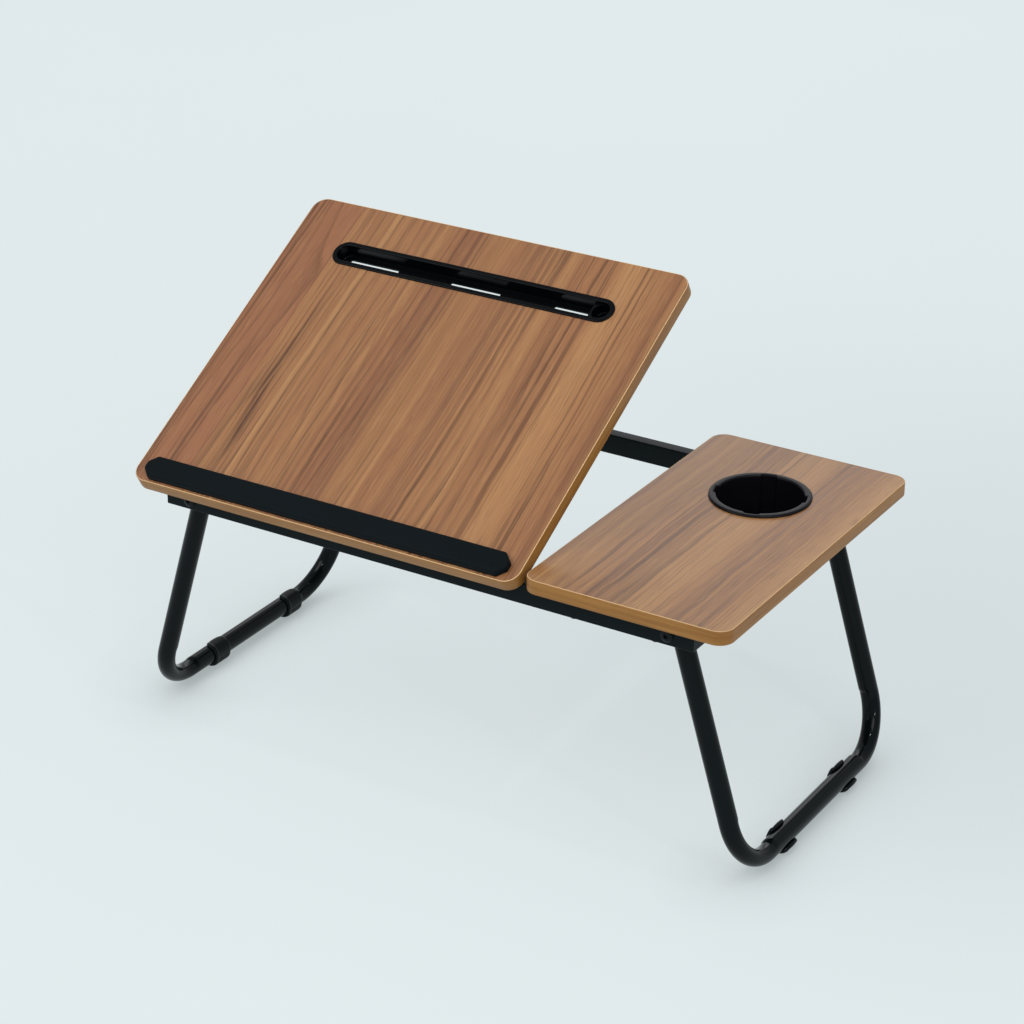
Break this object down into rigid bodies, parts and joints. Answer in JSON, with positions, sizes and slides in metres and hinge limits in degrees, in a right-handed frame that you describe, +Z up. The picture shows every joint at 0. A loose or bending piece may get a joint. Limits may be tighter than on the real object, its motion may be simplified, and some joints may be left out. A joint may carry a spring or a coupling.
{
  "type": "folding bed table",
  "caption": "Low folding bed table with a tilting board, a level side board with a cup holder, a tablet slot, a stop bar and U-shaped folding tube legs.",
  "frame": {"origin": "on the floor, under the centre of the whole table's bounding box", "axes": "+X along the table's length towards the board with the cup holder, +Y from the stop bar at the front towards the back, +Z up"},
  "size_m": [0.5859, 0.3234, 0.3891],
  "materials": {
    "board": "wood-print laminate, satin",
    "edge": "printed edge band, satin",
    "black_plastic": "moulded, glossy",
    "cup_plastic": "moulded, fine satin",
    "stop_rubber": "matt moulded rubber",
    "frame_paint": "black powder coat, satin",
    "leg_paint": "black powder coat, semi-gloss",
    "foot_rubber": "matt rubber",
    "black_steel": "black oxide, satin",
    "zinc": "zinc plated"
  },
  "bodies": {
    "frame": {"right_board": "board", "right_edge_band": "edge", "cup_holder": "cup_plastic", "right_board_screws": "black_steel", "front_rail": "frame_paint", "rear_rail": "frame_paint", "left_side_rail": "frame_paint", "right_side_rail": "frame_paint", "cross_bar": "frame_paint", "left_rack_bar": "frame_paint", "right_rack_bar": "frame_paint", "leg_pivot_bolts": "black_steel", "leg_pivot_washers": "zinc", "leg_pivot_nuts": "zinc", "left_hinge_frame_leaf": "zinc", "right_hinge_frame_leaf": "zinc", "hinge_pins": "zinc", "hinge_frame_rivets": "zinc"},
    "tilt_board": {"left_board": "board", "left_edge_band": "edge", "slot_insert": "black_plastic", "stop_bar": "stop_rubber", "left_hinge_board_leaf": "zinc", "right_hinge_board_leaf": "zinc", "hinge_board_screws": "zinc", "left_prop_bracket": "black_steel", "right_prop_bracket": "black_steel", "prop_bracket_screws": "zinc"},
    "prop": {"prop_wire": "black_steel"},
    "left_leg": {"left_leg": "leg_paint", "left_front_foot_clip": "foot_rubber", "left_rear_foot_clip": "foot_rubber"},
    "right_leg": {"right_leg": "leg_paint", "right_front_foot_clip": "foot_rubber", "right_rear_foot_clip": "foot_rubber"}
  },
  "joints": [
    {"name": "board_tilt", "type": "hinge", "parent": "frame", "child": "tilt_board", "pos_m": [-0.087, -0.14713, 0.2263], "axis": [1, 0, 0], "range_deg": [-30, 6]},
    {"name": "prop_swing", "type": "hinge", "parent": "tilt_board", "child": "prop", "pos_m": [-0.087, -0.03014, 0.28368], "axis": [1, 0, 0], "range_deg": [-12, 60]},
    {"name": "left_leg_fold", "type": "hinge", "parent": "frame", "child": "left_leg", "pos_m": [-0.2231, -0.00183, 0.214], "axis": [0, -1, 0], "range_deg": [0, 97]},
    {"name": "right_leg_fold", "type": "hinge", "parent": "frame", "child": "right_leg", "pos_m": [0.2231, -0.00183, 0.214], "axis": [0, 1, 0], "range_deg": [0, 97]}
  ],
  "couplings": [
    {"joint": "prop_swing", "follows": "board_tilt", "ratio": -2}
  ]
}
